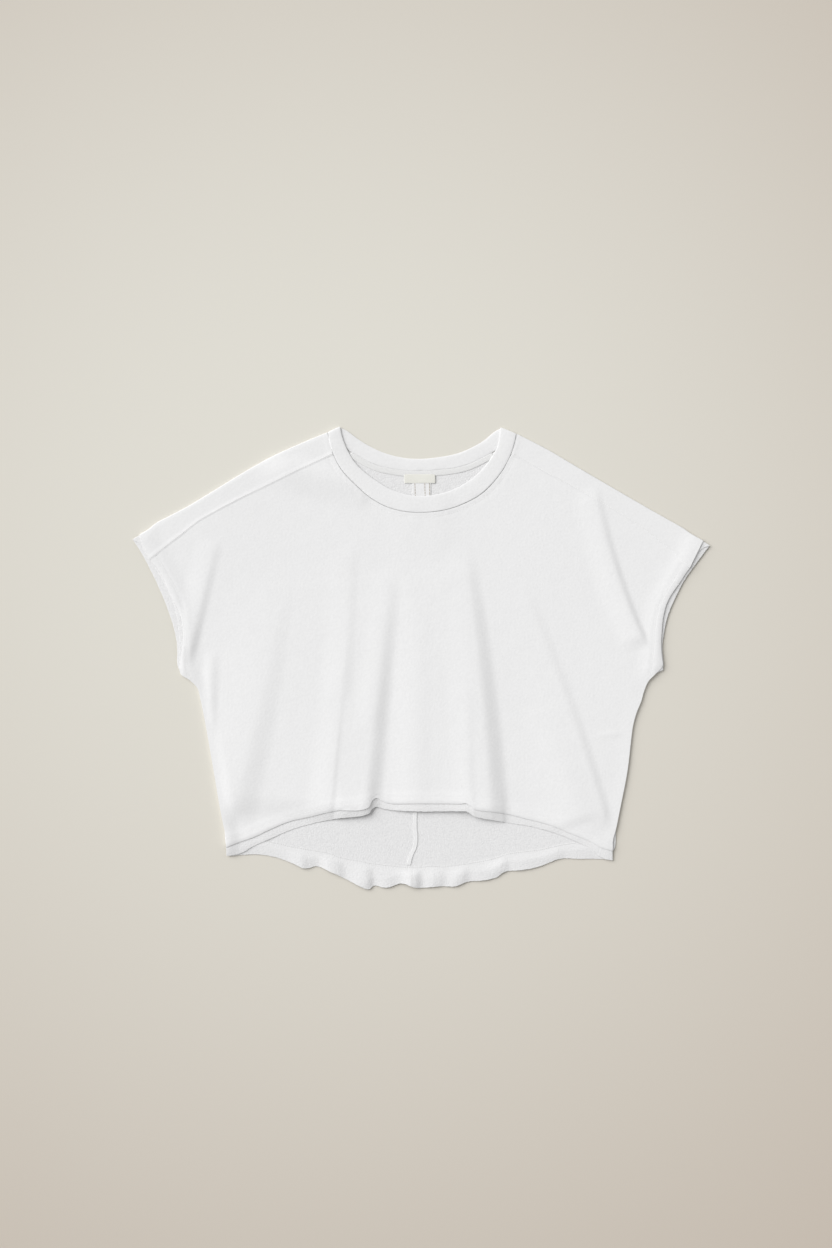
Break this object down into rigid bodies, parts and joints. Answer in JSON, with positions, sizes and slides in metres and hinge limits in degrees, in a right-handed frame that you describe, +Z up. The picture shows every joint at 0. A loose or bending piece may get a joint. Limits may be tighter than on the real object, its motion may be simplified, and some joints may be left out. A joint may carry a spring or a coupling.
{
  "type": "short-sleeved knit top",
  "caption": "Boxy cropped knit top with cap sleeves, a round banded neck and a longer rounded back hem, laid flat with its front up.",
  "frame": {"origin": "centre of the garment's outline on the surface it lies on", "axes": "+X to the wearer's left, +Y to the neck, +Z up, away from the surface"},
  "size_m": [0.7788, 0.6246, 0.0089],
  "materials": {
    "front_jersey": "matte white jersey face",
    "back_jersey_left": "matte white looped inside",
    "back_jersey_right": "matte white looped inside",
    "neck_rib": "matte white doubled jersey",
    "tape_twill": "matte off-white tape",
    "label_satin": "soft cream satin weave",
    "seam_left": "matte white raw allowance",
    "seam_right": "matte white raw allowance",
    "front_hem_terry": "matte white looped terry",
    "back_hem_terry": "matte white looped terry",
    "cuff_terry_left": "matte white looped terry",
    "cuff_terry_right": "matte white looped terry"
  },
  "bodies": {
    "root": {"front_panel": "front_jersey", "back_left": "back_jersey_left", "back_right": "back_jersey_right", "neck_band": "neck_rib", "back_neck_tape": "tape_twill", "neck_label": "label_satin", "back_seam_left": "seam_left", "back_seam_right": "seam_right", "front_hem_band": "front_hem_terry", "back_hem_band": "back_hem_terry", "cuff_left": "cuff_terry_left", "cuff_right": "cuff_terry_right"}
  },
  "joints": []
}
